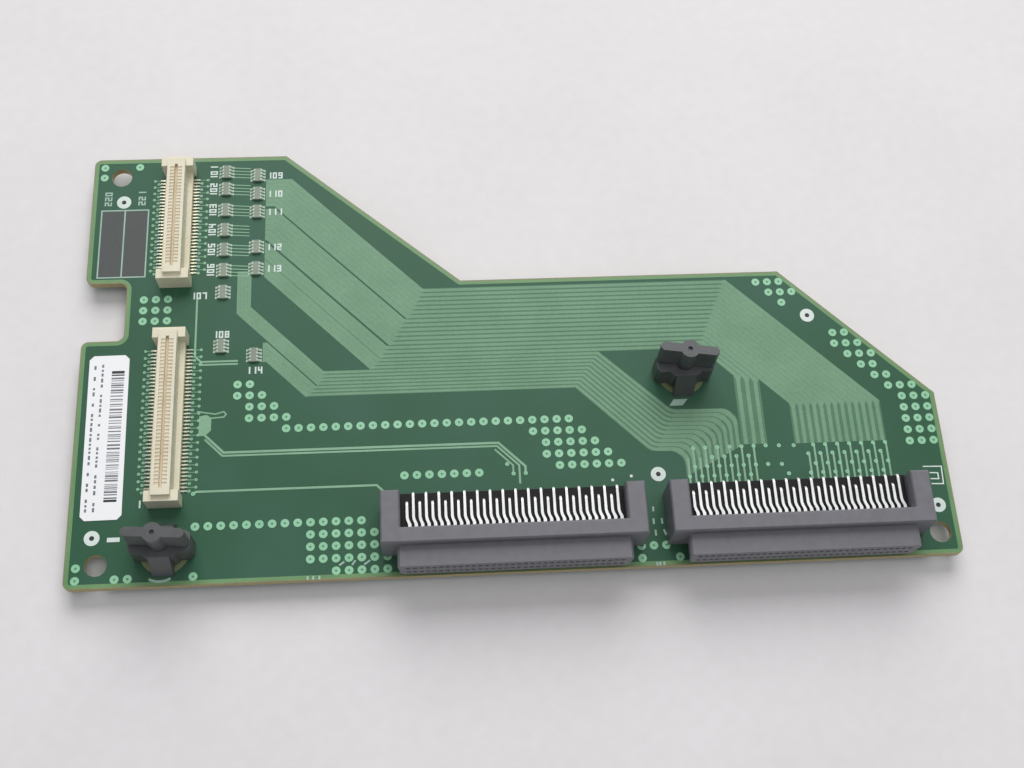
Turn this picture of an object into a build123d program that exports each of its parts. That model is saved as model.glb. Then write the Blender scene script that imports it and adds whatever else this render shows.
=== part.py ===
from build123d import *
import os
from math import radians, sqrt, tan

# A daughterboard for a server's drive cage, in millimetres with +Z up.
# The origin is the axis of the front left mounting hole, on the board's underside.
# +X runs along the front edge that carries the two wide ports, +Y runs to the back.

# Circuit board
board_thickness = 1.6
board_length = 179.5
board_depth = 97.8
middle_depth = 65.2
datum_inset_x = 6.1
datum_inset_y = 4.7
back_edge_length = 42.2
slope_run = 37.8
right_chamfer = 29.9
notch_front = 53.2
notch_width = 13.6
notch_depth = 8.7
corner_radius = 1.5
mount_hole_diameter = 4.4
right_hole_inset = 4.0

# Printed fields on the board's top face
print_thickness = 0.05
trace_front = 34.5
trace_back = 58.8
trace_end = 20.5
trace_fan_back = 85.7
trace_fan_left = 32.4
trace_fan_right = 65.9
trace_fan_inner = 54.6
trace_feed_left = 26.1
trace_feed_width = 2.8
trace_feed_back = 63.2
trace_network_gap = 0.55
trace_feed_inner = 40.5
trace_turn_offset = 11.7
trace_bank_offset = 25.1
trace_bank_width = 16.0
branch_offset = 7.9
branch_width = 18.0
branch_gap = 3.1
pocket_left_gap = 11.4
pocket_right_gap = 1.6
pocket_back_gap = 0.8
panel_width = 10.4
panel_length = 16.8
panel_x = 1.2
panel_y = 71.8

# Wide right-angle ports, two rows of contacts in each
contact_pitch = 1.27
contacts_per_row = 34
right_port_inset = 33.95
port_gap = 4.84
frame_setback = 4.25
frame_length = 10.8
frame_height = 9.3
frame_chamfer = 0.3
beam_depth = 3.2
leg_width = 3.85
leg_margin = 1.35
rear_bar_depth = 1.1
rear_bar_height = 2.6
shelf_thickness = 1.2
shelf_gap = 0.3
nose_margin = 2.1
nose_height = 5.6
nose_lift = 1.6
nose_side_angle = 6.0
nose_chamfer = 0.5
port_row_spacing = 2.54
socket_size = 0.75
contact_width = 0.45
contact_thickness = 0.3
contact_recess = 0.6
first_tail_setback = 5.6
tail_row_spacing = 1.9
tail_drop = 1.5
peg_diameter = 2.4
peg_sides = 6
peg_clearance = 0.1
peg_drop = 0.5
peg_setback = 6.0

# Slim two-row headers that reach the mating board
header_pitch = 0.8
lower_header_count = 40
upper_header_count = 30
header_x = 12.9
lower_header_y = 30.3
upper_header_y = 75.7
header_end_margin = 3.35
header_width = 3.8
header_height = 5.6
header_base_width = 5.9
header_base_height = 1.5
header_lift = 0.3
end_block_width = 6.8
end_block_length = 2.3
end_block_height = 4.6
end_block_lap = 1.3
header_slot_width = 0.65
header_slot_floor = 3.8
header_slot_margin = 0.9
cavity_span = 2.5
cavity_width = 0.45
spring_gap = 0.05
spring_thickness = 0.2
spring_width = 0.3
spring_recess = 0.6
foot_reach = 4.2

# Resistor networks, four resistors in each
network_width = 1.7
network_length = 3.2
network_height = 0.6
network_left_x = 23.0
network_right_x = 29.9
network_left_y = [89.1, 84.7, 79.4, 74.4, 69.5, 64.5, 59.2, 46.5]
network_right_y = [88.1, 83.4, 78.8, 70.0, 64.7, 44.2]

# Quarter-turn fasteners
left_fastener_x = 13.3
left_fastener_y = 2.6
left_fastener_angle = -4.0
right_fastener_inset = 53.6
right_fastener_y = 37.0
right_fastener_angle = -8.5
fastener_hole_diameter = 7.0
sleeve_height = 6.0
sleeve_tower_width = 6.6
sleeve_tower_depth = 6.2
sleeve_chamfer = 0.8
sleeve_arm_span = 12.0
sleeve_arm_width = 4.4
sleeve_ramp_span = 10.8
sleeve_ramp_width = 4.2
prong_count = 4
prong_width = 2.4
prong_clearance = 0.1
prong_barb = 0.55
prong_drop = 1.0
knob_gap = 0.3
knob_height = 6.3
wing_length = 12.0
wing_thickness = 1.9
wing_chamfer = 0.6
hub_diameter = 3.9
dimple_diameter = 1.0
dimple_sides = 8
dimple_depth = 0.6
stem_diameter = 3.6
stem_clearance = 0.08
key_length = 6.6
key_width = 2.0
key_height = 1.5

# Paper label
label_width = 8.2
label_length = 35.9
label_thickness = 0.12
label_chamfer = 0.9
label_x = 0.2
label_y = 27.2
label_angle = 0.5

# Places worked out from the sizes above
board_left = -datum_inset_x
board_right = board_left + board_length
board_front = -datum_inset_y
board_back = board_front + board_depth
middle_back = board_front + middle_depth
back_edge_right = board_left + back_edge_length
frame_front = board_front + frame_setback
beam_back = frame_front + beam_depth
nose_front = board_front
nose_middle = board_thickness + nose_lift + nose_height / 2
upper_row_height = nose_middle + port_row_spacing / 2
lower_row_height = nose_middle - port_row_spacing / 2
row_length = contact_pitch * (contacts_per_row - 1)
slot_width = row_length + 2 * leg_margin
frame_width = slot_width + 2 * leg_width
nose_width = row_length + 2 * nose_margin
peg_offset = (frame_width - leg_width) / 2
peg_y = frame_front + peg_setback
right_port_x = board_right - right_port_inset
left_port_x = right_port_x - frame_width - port_gap
right_fastener_x = board_right - right_fastener_inset
tail_rows = [frame_front + first_tail_setback + row * tail_row_spacing for row in range(4)]
mount_holes = [(0, 0), (0, board_depth - 2 * datum_inset_y), (board_right - right_hole_inset, 0)]
port_places = {"left": left_port_x, "right": right_port_x}
header_places = {
    "lower": (lower_header_y, lower_header_count),
    "upper": (upper_header_y, upper_header_count),
}
last_network_corner = network_right_x + network_right_y[-1] + (network_width + network_length) / 2
trace_feed_corner = last_network_corner + trace_network_gap - trace_feed_left
trace_turn = right_fastener_x + trace_turn_offset
trace_bank_left = right_fastener_x + trace_bank_offset
trace_bank_right = trace_bank_left + trace_bank_width
branch_left = right_fastener_x - branch_offset
branch_right = branch_left + branch_width
branch_back = right_fastener_y - sleeve_ramp_span / 2 - branch_gap
pocket_left = right_fastener_x - sleeve_arm_span / 2 - pocket_left_gap
pocket_right = right_fastener_x + sleeve_arm_span / 2 + pocket_right_gap
pocket_back = right_fastener_y + sleeve_ramp_span / 2 + pocket_back_gap
fastener_places = {
    "left": (left_fastener_x, left_fastener_y, left_fastener_angle),
    "right": (right_fastener_x, right_fastener_y, right_fastener_angle),
}
network_places = [(network_left_x, y) for y in network_left_y]
network_places += [(network_right_x, y) for y in network_right_y]


def save(builder, name):
    """Labels a finished piece and writes it as one STEP file."""
    builder.part.label = name
    export_step(builder.part, f"parts/{name}.step")


def board_points():
    """The board's outline, counter-clockwise from its front left corner."""
    notch_y = board_front + notch_front
    notch_x = board_left + notch_depth
    return [
        (board_left, board_front),
        (board_right, board_front),
        (board_right, middle_back - right_chamfer),
        (board_right - right_chamfer, middle_back),
        (back_edge_right + slope_run, middle_back),
        (back_edge_right, board_back),
        (board_left, board_back),
        (board_left, notch_y + notch_width),
        (notch_x, notch_y + notch_width),
        (notch_x, notch_y),
        (board_left, notch_y),
    ]


def make_board():
    """The glass-fibre board with its mounting, fastener and peg holes."""
    fastener_holes = [(x, y) for x, y, _ in fastener_places.values()]
    peg_holes = [(x + side * peg_offset, peg_y) for x in port_places.values() for side in (-1, 1)]
    with BuildPart() as board:
        with BuildSketch(Plane.XY) as outline:
            with BuildLine():
                Polyline(*board_points(), close=True)
            make_face()
            corners = outline.vertices()
            fillet(corners.filter_by(lambda corner: corner.X < header_x or corner.Y < 0), corner_radius)
            with Locations(*mount_holes):
                Circle(mount_hole_diameter / 2, mode=Mode.SUBTRACT)
            with Locations(*fastener_holes):
                Circle(fastener_hole_diameter / 2, mode=Mode.SUBTRACT)
            with Locations(*peg_holes):
                Circle(peg_diameter / 2 + peg_clearance, mode=Mode.SUBTRACT)
        extrude(amount=board_thickness)
    return board


def trace_points():
    """Outline of the field of parallel conductors, whose slanted sides all run at 45 degrees."""
    feed_right = trace_feed_left + trace_feed_width
    return [
        (trace_feed_left + trace_feed_corner - trace_front, trace_front),
        (branch_left - (trace_front - trace_end), trace_front),
        (branch_left, trace_end),
        (branch_right, trace_end),
        (branch_right, branch_back),
        (pocket_left + pocket_back - branch_back, branch_back),
        (pocket_left, pocket_back),
        (pocket_right, pocket_back),
        (trace_bank_left, pocket_back - (trace_bank_left - pocket_right)),
        (trace_bank_left, trace_end),
        (trace_bank_right, trace_end),
        (trace_bank_right, trace_back - (trace_bank_right - trace_turn)),
        (trace_turn, trace_back),
        (trace_fan_right, trace_back),
        (trace_fan_right - (trace_fan_back - trace_back), trace_fan_back),
        (trace_fan_left, trace_feed_inner + trace_fan_inner - trace_fan_left),
        (trace_fan_inner, trace_feed_inner),
        (trace_feed_left + trace_feed_corner - trace_front + trace_feed_width, trace_feed_inner),
        (feed_right, trace_feed_inner + trace_feed_corner - trace_front),
        (feed_right, trace_feed_back),
        (trace_feed_left, trace_feed_back),
        (trace_feed_left, trace_feed_corner),
    ]


def make_trace_field():
    """The field of printed conductors that covers the middle of the board."""
    with BuildPart() as field:
        with BuildSketch(Plane.XY.offset(board_thickness)):
            with BuildLine():
                Polyline(*trace_points(), close=True)
            make_face()
        extrude(amount=print_thickness)
    return field


def make_marking_panel():
    """The printed panel beside the upper header."""
    with BuildPart() as panel:
        with BuildSketch(Plane.XY.offset(board_thickness)):
            with Locations((panel_x, panel_y)):
                Rectangle(panel_width, panel_length)
        extrude(amount=print_thickness)
    return panel


def make_label():
    """The paper label, stuck on a little askew."""
    with BuildPart() as label:
        with BuildSketch(Plane.XY.offset(board_thickness)) as outline:
            with Locations(Location((label_x, label_y, 0), (0, 0, label_angle))):
                Rectangle(label_width, label_length)
            chamfer(outline.vertices(), label_chamfer)
        extrude(amount=label_thickness)
    return label


def make_port_housing(port_x):
    """A moulded frame, open at the back, with a shelf between the rows and a nose full of sockets."""
    slot_length = frame_length - beam_depth
    nose_bottom_width = nose_width - 2 * nose_height * tan(radians(nose_side_angle))
    rear_bar_y = (tail_rows[2] + tail_rows[3]) / 2
    shelf_length = tail_rows[2] - contact_thickness / 2 - shelf_gap - beam_back
    with BuildPart() as housing:
        with BuildSketch(Plane.XY.offset(board_thickness)):
            with Locations((port_x, frame_front + frame_length / 2)):
                Rectangle(frame_width, frame_length)
            with Locations((port_x, beam_back + slot_length / 2)):
                Rectangle(slot_width, slot_length, mode=Mode.SUBTRACT)
        extrude(amount=frame_height)
        chamfer(housing.faces().sort_by(Axis.Z)[-1].outer_wire().edges(), frame_chamfer)
        with BuildSketch(Plane.XY.offset(board_thickness)):
            with Locations((port_x, rear_bar_y)):
                Rectangle(slot_width, rear_bar_depth)
        extrude(amount=rear_bar_height)
        with BuildSketch(Plane.XY.offset(nose_middle - shelf_thickness / 2)):
            with Locations((port_x, beam_back + shelf_length / 2)):
                Rectangle(slot_width, shelf_length)
        extrude(amount=shelf_thickness)
        with BuildSketch(Plane.XZ.offset(-frame_front)) as nose_profile:
            with BuildLine():
                Polyline(
                    (port_x - nose_bottom_width / 2, nose_middle - nose_height / 2),
                    (port_x + nose_bottom_width / 2, nose_middle - nose_height / 2),
                    (port_x + nose_width / 2, nose_middle + nose_height / 2),
                    (port_x - nose_width / 2, nose_middle + nose_height / 2),
                    close=True,
                )
            make_face()
            chamfer(nose_profile.vertices(), nose_chamfer)
        extrude(amount=frame_front - nose_front)
        with BuildSketch(Plane.XZ.offset(-beam_back)):
            with Locations((port_x, nose_middle)):
                with GridLocations(contact_pitch, port_row_spacing, contacts_per_row, 2):
                    Rectangle(socket_size, socket_size)
        extrude(amount=beam_back - nose_front, mode=Mode.SUBTRACT)
        with BuildSketch(Plane.XY.offset(board_thickness)):
            with Locations((port_x - peg_offset, peg_y), (port_x + peg_offset, peg_y)):
                RegularPolygon(peg_diameter / 2, peg_sides)
        extrude(amount=-(board_thickness + peg_drop))
    return housing


def make_port_contact(row_height, tail_y):
    """One right-angle contact: a straight run out of its socket, then a tail down through the board."""
    half = contact_thickness / 2
    with BuildPart() as contact:
        with BuildSketch(Plane.YZ):
            with BuildLine():
                Polyline(
                    (nose_front + contact_recess, row_height - half),
                    (tail_y - half, row_height - half),
                    (tail_y - half, -tail_drop),
                    (tail_y + half, -tail_drop),
                    (tail_y + half, row_height + half),
                    (nose_front + contact_recess, row_height + half),
                    close=True,
                )
            make_face()
        extrude(amount=contact_width / 2, both=True)
    return contact.part


def make_port_contacts(port_x, row_height, near_tail, far_tail):
    """One row of contacts, whose tails go down alternately near and far."""
    first_x = port_x - row_length / 2
    with BuildPart() as contacts:
        for start, tail_y in ((0, near_tail), (1, far_tail)):
            contact = make_port_contact(row_height, tail_y)
            places = [(first_x + i * contact_pitch, 0) for i in range(start, contacts_per_row, 2)]
            with Locations(*places):
                add(contact)
    return contacts


def make_header_housing(header_y, count):
    """A slim housing whose middle slot opens into one cavity for each pair of springs."""
    cavity_row = header_pitch * (count - 1)
    overall = cavity_row + 2 * header_end_margin
    block_offset = (overall - end_block_length) / 2
    body_length = overall - 2 * end_block_length + 2 * end_block_lap
    with BuildPart() as housing:
        with BuildSketch(Plane.XY.offset(board_thickness + header_lift)):
            with Locations((header_x, header_y)):
                Rectangle(header_base_width, overall - end_block_length)
        extrude(amount=header_base_height - header_lift)
        with BuildSketch(Plane.XY.offset(board_thickness + header_lift)):
            with Locations((header_x, header_y)):
                Rectangle(header_width, body_length)
        extrude(amount=header_height - header_lift)
        with BuildSketch(Plane.XY.offset(board_thickness)):
            with Locations((header_x, header_y - block_offset), (header_x, header_y + block_offset)):
                Rectangle(end_block_width, end_block_length)
        extrude(amount=end_block_height)
        with BuildSketch(Plane.XY.offset(board_thickness + header_slot_floor)):
            with Locations((header_x, header_y)):
                Rectangle(header_slot_width, cavity_row + 2 * header_slot_margin)
        extrude(amount=header_height - header_slot_floor, mode=Mode.SUBTRACT)
        with BuildSketch(Plane.XY.offset(board_thickness + header_lift)):
            with Locations((header_x, header_y)):
                with GridLocations(cavity_span, header_pitch, 1, count):
                    Rectangle(cavity_span, cavity_width)
        extrude(amount=header_height - header_lift, mode=Mode.SUBTRACT)
    return housing


def make_header_spring(side):
    """One spring contact: a foot on the board and a riser inside its cavity."""
    outer = cavity_span / 2 - spring_gap
    inner = outer - spring_thickness
    with BuildPart() as spring:
        with BuildSketch(Plane.XZ):
            with BuildLine():
                Polyline(
                    (side * foot_reach, board_thickness),
                    (side * foot_reach, board_thickness + spring_thickness),
                    (side * outer, board_thickness + spring_thickness),
                    (side * outer, board_thickness + header_height - spring_recess),
                    (side * inner, board_thickness + header_height - spring_recess),
                    (side * inner, board_thickness),
                    close=True,
                )
            make_face()
        extrude(amount=spring_width / 2, both=True)
    return spring.part


def make_header_springs(header_y, count, side):
    """One row of spring contacts."""
    spring = make_header_spring(side)
    with BuildPart() as springs:
        with Locations((header_x, header_y)):
            with GridLocations(header_pitch, header_pitch, 1, count):
                add(spring)
    return springs


def make_network(x, y):
    """The ceramic body of one resistor network."""
    with BuildPart() as body:
        with BuildSketch(Plane.XY.offset(board_thickness)):
            with Locations((x, y)):
                Rectangle(network_width, network_length)
        extrude(amount=network_height)
    return body


def make_prong():
    """One snap prong of a sleeve, on +X of the fastener's axis, with its barb under the board."""
    hole_radius = fastener_hole_diameter / 2 - prong_clearance
    outer = sqrt(hole_radius ** 2 - (prong_width / 2) ** 2)
    inner = stem_diameter / 2 + knob_gap
    with BuildPart() as prong:
        with BuildSketch(Plane.XZ):
            with BuildLine():
                Polyline(
                    (inner, board_thickness),
                    (outer, board_thickness),
                    (outer, 0),
                    (outer + prong_barb, 0),
                    (outer, -prong_drop),
                    (inner, -prong_drop),
                    close=True,
                )
            make_face()
        extrude(amount=prong_width / 2, both=True)
    return prong.part


def make_sleeve(x, y):
    """A fastener's fixed sleeve: a tower with two arms and two ramps, held by snap prongs."""
    with BuildPart() as sleeve:
        with BuildSketch(Plane.XY.offset(board_thickness)) as tower:
            with Locations((x, y)):
                Rectangle(sleeve_tower_width, sleeve_tower_depth)
            chamfer(tower.vertices(), sleeve_chamfer)
        extrude(amount=sleeve_height)
        with BuildSketch(Plane.XY.offset(board_thickness)) as arms:
            with Locations((x, y)):
                Rectangle(sleeve_arm_span, sleeve_arm_width)
            chamfer(arms.vertices(), sleeve_chamfer)
        extrude(amount=sleeve_height)
        with BuildSketch(Plane.YZ.offset(x)):
            with BuildLine():
                Polyline(
                    (y - sleeve_ramp_span / 2, board_thickness),
                    (y + sleeve_ramp_span / 2, board_thickness),
                    (y + sleeve_tower_depth / 2, board_thickness + sleeve_height),
                    (y - sleeve_tower_depth / 2, board_thickness + sleeve_height),
                    close=True,
                )
            make_face()
        extrude(amount=sleeve_ramp_width / 2, both=True)
        prong = make_prong()
        with Locations((x, y)):
            with PolarLocations(0, prong_count):
                add(prong)
        with BuildSketch(Plane.XY.offset(board_thickness)):
            with Locations((x, y)):
                Circle(stem_diameter / 2 + stem_clearance)
        extrude(amount=sleeve_height, mode=Mode.SUBTRACT)
    return sleeve


def make_knob(x, y, angle):
    """A fastener's winged knob, its stem and the key that locks under the chassis."""
    wing_bottom = board_thickness + sleeve_height + knob_gap
    key_top = -prong_drop - knob_gap
    turned = Location((x, y, 0), (0, 0, angle))
    with BuildPart() as knob:
        with BuildSketch(Plane.XY.offset(wing_bottom)) as wing:
            with Locations(turned):
                Rectangle(wing_length, wing_thickness)
            chamfer(wing.vertices(), wing_chamfer)
            with Locations(turned):
                Circle(hub_diameter / 2)
        extrude(amount=knob_height)
        with BuildSketch(Plane.XY.offset(wing_bottom + knob_height)):
            with Locations(turned):
                RegularPolygon(dimple_diameter / 2, dimple_sides)
        extrude(amount=-dimple_depth, mode=Mode.SUBTRACT)
        with BuildSketch(Plane.XY.offset(key_top)):
            with Locations(turned):
                Circle(stem_diameter / 2)
        extrude(amount=wing_bottom - key_top)
        with BuildSketch(Plane.XY.offset(key_top)):
            with Locations(turned):
                Rectangle(key_length, key_width)
        extrude(amount=-key_height)
    return knob


os.makedirs("parts", exist_ok=True)

save(make_board(), "circuit_board")
save(make_trace_field(), "trace_field")
save(make_marking_panel(), "marking_panel")
save(make_label(), "paper_label")

for side, port_x in port_places.items():
    upper = make_port_contacts(port_x, upper_row_height, tail_rows[2], tail_rows[3])
    lower = make_port_contacts(port_x, lower_row_height, tail_rows[0], tail_rows[1])
    save(make_port_housing(port_x), f"{side}_port_housing")
    save(upper, f"{side}_port_upper_contacts")
    save(lower, f"{side}_port_lower_contacts")

for level, (header_y, count) in header_places.items():
    save(make_header_housing(header_y, count), f"{level}_header_housing")
    save(make_header_springs(header_y, count, -1), f"{level}_header_left_springs")
    save(make_header_springs(header_y, count, 1), f"{level}_header_right_springs")

for number, (x, y) in enumerate(network_places, start=1):
    save(make_network(x, y), f"resistor_network_{number}")

for side, (x, y, angle) in fastener_places.items():
    save(make_sleeve(x, y), f"{side}_fastener_sleeve")
    save(make_knob(x, y, angle), f"{side}_fastener_knob")
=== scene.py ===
import math
import random

import bpy
from mathutils import Euler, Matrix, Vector


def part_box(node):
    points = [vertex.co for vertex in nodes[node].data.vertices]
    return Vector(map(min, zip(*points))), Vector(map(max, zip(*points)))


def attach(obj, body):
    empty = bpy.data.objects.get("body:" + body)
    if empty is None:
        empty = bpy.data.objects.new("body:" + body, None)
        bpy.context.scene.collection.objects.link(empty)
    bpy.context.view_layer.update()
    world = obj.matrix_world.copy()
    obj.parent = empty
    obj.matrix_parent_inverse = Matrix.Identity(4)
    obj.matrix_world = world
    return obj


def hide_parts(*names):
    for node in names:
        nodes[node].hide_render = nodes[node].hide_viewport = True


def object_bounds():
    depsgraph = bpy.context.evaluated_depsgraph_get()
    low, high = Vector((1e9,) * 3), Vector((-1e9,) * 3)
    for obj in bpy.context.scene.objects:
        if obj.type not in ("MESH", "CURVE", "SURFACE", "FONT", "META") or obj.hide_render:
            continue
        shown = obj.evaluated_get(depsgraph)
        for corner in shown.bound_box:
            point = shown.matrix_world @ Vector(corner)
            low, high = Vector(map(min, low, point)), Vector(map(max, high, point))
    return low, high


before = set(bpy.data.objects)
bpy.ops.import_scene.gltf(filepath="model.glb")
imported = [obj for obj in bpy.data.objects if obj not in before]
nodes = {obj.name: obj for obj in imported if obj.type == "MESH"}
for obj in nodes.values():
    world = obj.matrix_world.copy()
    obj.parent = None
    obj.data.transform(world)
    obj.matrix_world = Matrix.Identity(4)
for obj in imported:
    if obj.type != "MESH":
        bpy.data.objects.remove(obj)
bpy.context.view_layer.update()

MM = 0.001
BOARD = "board"

# The board's top face, and how far each kind of print stands above it, in millimetres
board_top = 1.6
field_high = 0.015
print_high = 0.03
stub_high = 0.038
paint_high = 0.045
field_layer = (board_top, board_top + field_high)
print_layer = (board_top, board_top + print_high)
stub_layer = (board_top, board_top + stub_high)
paint_layer = (board_top, board_top + paint_high)

# The printed dots lie on a grid of 2.54 mm, whose origin is this far from the part's origin
dot_pitch = 2.54
dot_origin = (41.9, 7.2)


# Geometry: thin closed solids collected into one mesh each

class Solids:
    """Collects closed solids, in millimetres, and turns them into one piece that rides on the board."""

    def __init__(self):
        self.points = []
        self.faces = []

    def loft(self, rings):
        """A solid through several rings of points, each a list of (x, y, z) with the same count."""
        first = len(self.points)
        count = len(rings[0])
        for ring in rings:
            self.points.extend(ring)
        for level in range(len(rings) - 1):
            low = first + level * count
            for i in range(count):
                j = (i + 1) % count
                self.faces.append((low + i, low + j, low + count + j, low + count + i))
        self.faces.append(tuple(reversed(range(first, first + count))))
        last = first + (len(rings) - 1) * count
        self.faces.append(tuple(range(last, last + count)))

    def plate(self, outline, low, high):
        """A flat plate over an outline that runs counter-clockwise."""
        self.loft([[(x, y, low) for x, y in outline], [(x, y, high) for x, y in outline]])

    def box(self, x0, x1, y0, y1, low, high):
        self.plate([(x0, y0), (x1, y0), (x1, y1), (x0, y1)], low, high)

    def disc(self, x, y, radius, low, high, sides=20):
        self.plate(circle(x, y, radius, sides), low, high)

    def washer(self, outer, inner, low, high):
        """A closed band between two outlines with the same number of points."""
        first = len(self.points)
        count = len(outer)
        for z in (low, high):
            self.points.extend((x, y, z) for x, y in outer)
            self.points.extend((x, y, z) for x, y in inner)
        lo_out, lo_in, hi_out, hi_in = (first + k * count for k in range(4))
        for i in range(count):
            j = (i + 1) % count
            self.faces.append((hi_out + i, hi_out + j, hi_in + j, hi_in + i))
            self.faces.append((lo_out + j, lo_out + i, lo_in + i, lo_in + j))
            self.faces.append((lo_out + i, lo_out + j, hi_out + j, hi_out + i))
            self.faces.append((lo_in + j, lo_in + i, hi_in + i, hi_in + j))

    def ring(self, x, y, outer, inner, low, high, sides=24):
        self.washer(circle(x, y, outer, sides), circle(x, y, inner, sides), low, high)

    def strip(self, left, right, low, high):
        """A flat strip between its left and right edges, with closed ends."""
        first = len(self.points)
        count = len(left)
        for z in (low, high):
            self.points.extend((x, y, z) for x, y in left)
            self.points.extend((x, y, z) for x, y in right)
        lo_l, lo_r, hi_l, hi_r = (first + k * count for k in range(4))
        for i in range(count - 1):
            j = i + 1
            self.faces.append((hi_l + i, hi_r + i, hi_r + j, hi_l + j))
            self.faces.append((lo_l + j, lo_r + j, lo_r + i, lo_l + i))
            self.faces.append((lo_l + i, hi_l + i, hi_l + j, lo_l + j))
            self.faces.append((hi_r + i, lo_r + i, lo_r + j, hi_r + j))
        end = count - 1
        self.faces.append((lo_l, lo_r, hi_r, hi_l))
        self.faces.append((lo_l + end, hi_l + end, hi_r + end, lo_r + end))

    def line(self, path, width, low, high):
        """A printed line of one width along a path."""
        left, right = edges(path, width / 2)
        self.strip(left, right, low, high)

    def piece(self, name, material):
        mesh = bpy.data.meshes.new(name)
        mesh.from_pydata([(x * MM, y * MM, z * MM) for x, y, z in self.points], [], self.faces)
        mesh.update()
        mesh.materials.append(material)
        obj = bpy.data.objects.new(name, mesh)
        bpy.context.scene.collection.objects.link(obj)
        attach(obj, BOARD)
        return obj


def circle(x, y, radius, sides):
    step = 2 * math.pi / sides
    return [(x + radius * math.cos(i * step), y + radius * math.sin(i * step)) for i in range(sides)]


def edges(path, half):
    """The left and right edges of a line along a path, mitred at its bends."""
    left = []
    right = []
    for i, (x, y) in enumerate(path):
        ahead = direction(path[i], path[i + 1]) if i + 1 < len(path) else None
        behind = direction(path[i - 1], path[i]) if i else ahead
        ahead = ahead or behind
        nx = -(ahead[1] + behind[1])
        ny = ahead[0] + behind[0]
        scale = half * 2 / (nx * nx + ny * ny)
        left.append((x + nx * scale, y + ny * scale))
        right.append((x - nx * scale, y - ny * scale))
    return left, right


def direction(a, b):
    dx = b[0] - a[0]
    dy = b[1] - a[1]
    length = math.hypot(dx, dy)
    return dx / length, dy / length


def toward(a, b, distance):
    d = direction(a, b)
    return a[0] + d[0] * distance, a[1] + d[1] * distance


def between(a, b, share):
    return [(p[0] + (q[0] - p[0]) * share, p[1] + (q[1] - p[1]) * share) for p, q in zip(a, b)]


def on_board(points):
    """Moves points from the dots' grid to the part's frame."""
    return [(x + dot_origin[0], y + dot_origin[1]) for x, y in points]


def node_box(name):
    """The lowest and highest corner of a node, in millimetres."""
    return [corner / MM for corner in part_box(name)]


def side_span(x, side, near, far):
    """A stretch on one side of x, as its lower end and its upper end."""
    return sorted((x + side * near, x + side * far))


# Materials

def linear(value):
    value /= 255
    return value / 12.92 if value <= 0.04045 else ((value + 0.055) / 1.055) ** 2.4


def colour(red, green, blue):
    return linear(red), linear(green), linear(blue), 1.0


class Nodes:
    """A short way to write one material's node tree."""

    def __init__(self, name):
        self.material = bpy.data.materials.new(name)
        self.material.use_nodes = True
        self.tree = self.material.node_tree
        self.shader = self.tree.nodes["Principled BSDF"]
        self.place = self.add("ShaderNodeTexCoord").outputs["Object"]

    def add(self, kind, **values):
        node = self.tree.nodes.new(kind)
        for key, value in values.items():
            setattr(node, key, value)
        return node

    def link(self, source, target):
        self.tree.links.new(source, target)

    def noise(self, size_mm, detail=3.0, stretch=(1, 1, 1)):
        """Noise with features of about this size."""
        mapping = self.add("ShaderNodeMapping")
        mapping.inputs["Scale"].default_value = stretch
        node = self.add("ShaderNodeTexNoise")
        node.inputs["Scale"].default_value = 1 / (size_mm * MM)
        node.inputs["Detail"].default_value = detail
        self.link(self.place, mapping.inputs["Vector"])
        self.link(mapping.outputs["Vector"], node.inputs["Vector"])
        return node.outputs["Fac"]

    def wave(self, size_mm, axis, distortion=0.6):
        node = self.add("ShaderNodeTexWave", bands_direction=axis)
        node.inputs["Scale"].default_value = 1 / (size_mm * MM) / 3.2
        node.inputs["Distortion"].default_value = distortion
        node.inputs["Detail"].default_value = 1.0
        self.link(self.place, node.inputs["Vector"])
        return node.outputs["Fac"]

    def ramp(self, factor, stops):
        node = self.add("ShaderNodeValToRGB")
        points = node.color_ramp.elements
        while len(points) < len(stops):
            points.new(0.5)
        for point, (position, value) in zip(points, stops):
            point.position = position
            point.color = value
        self.link(factor, node.inputs["Fac"])
        return node.outputs["Color"]

    def span(self, factor, low, high, start=0.3, end=0.7):
        node = self.add("ShaderNodeMapRange")
        node.inputs["From Min"].default_value = start
        node.inputs["From Max"].default_value = end
        node.inputs["To Min"].default_value = low
        node.inputs["To Max"].default_value = high
        self.link(factor, node.inputs["Value"])
        return node.outputs["Result"]

    def mix(self, factor, first, second):
        node = self.add("ShaderNodeMix", data_type="RGBA")
        for source, socket in ((factor, node.inputs[0]), (first, node.inputs[6]), (second, node.inputs[7])):
            if isinstance(source, bpy.types.NodeSocket):
                self.link(source, socket)
            else:
                socket.default_value = source
        return node.outputs[2]

    def bump(self, height, depth_mm, strength=1.0):
        node = self.add("ShaderNodeBump")
        node.inputs["Strength"].default_value = strength
        node.inputs["Distance"].default_value = depth_mm * MM
        self.link(height, node.inputs["Height"])
        self.link(node.outputs["Normal"], self.shader.inputs["Normal"])

    def finish(self, base, roughness, metallic=0.0, **sockets):
        self.link(base, self.shader.inputs["Base Color"])
        self.link(roughness, self.shader.inputs["Roughness"])
        self.shader.inputs["Metallic"].default_value = metallic
        for name, value in sockets.items():
            self.shader.inputs[name.replace("_", " ")].default_value = value
        return self.material


def plain_material(name, dark, light, grain_mm, rough, depth_mm, **sockets):
    """A surface whose tone, gloss and relief all vary with one grain and a slower drift."""
    m = Nodes(name)
    grain = m.noise(grain_mm, 4.0)
    drift = m.noise(grain_mm * 14, 2.0)
    fine = m.ramp(grain, [(0.3, dark), (0.7, light)])
    slow = m.ramp(drift, [(0.35, dark), (0.65, light)])
    tone = m.mix(0.5, fine, slow)
    m.bump(grain, depth_mm)
    return m.finish(tone, m.span(drift, *rough), **sockets)


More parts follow.
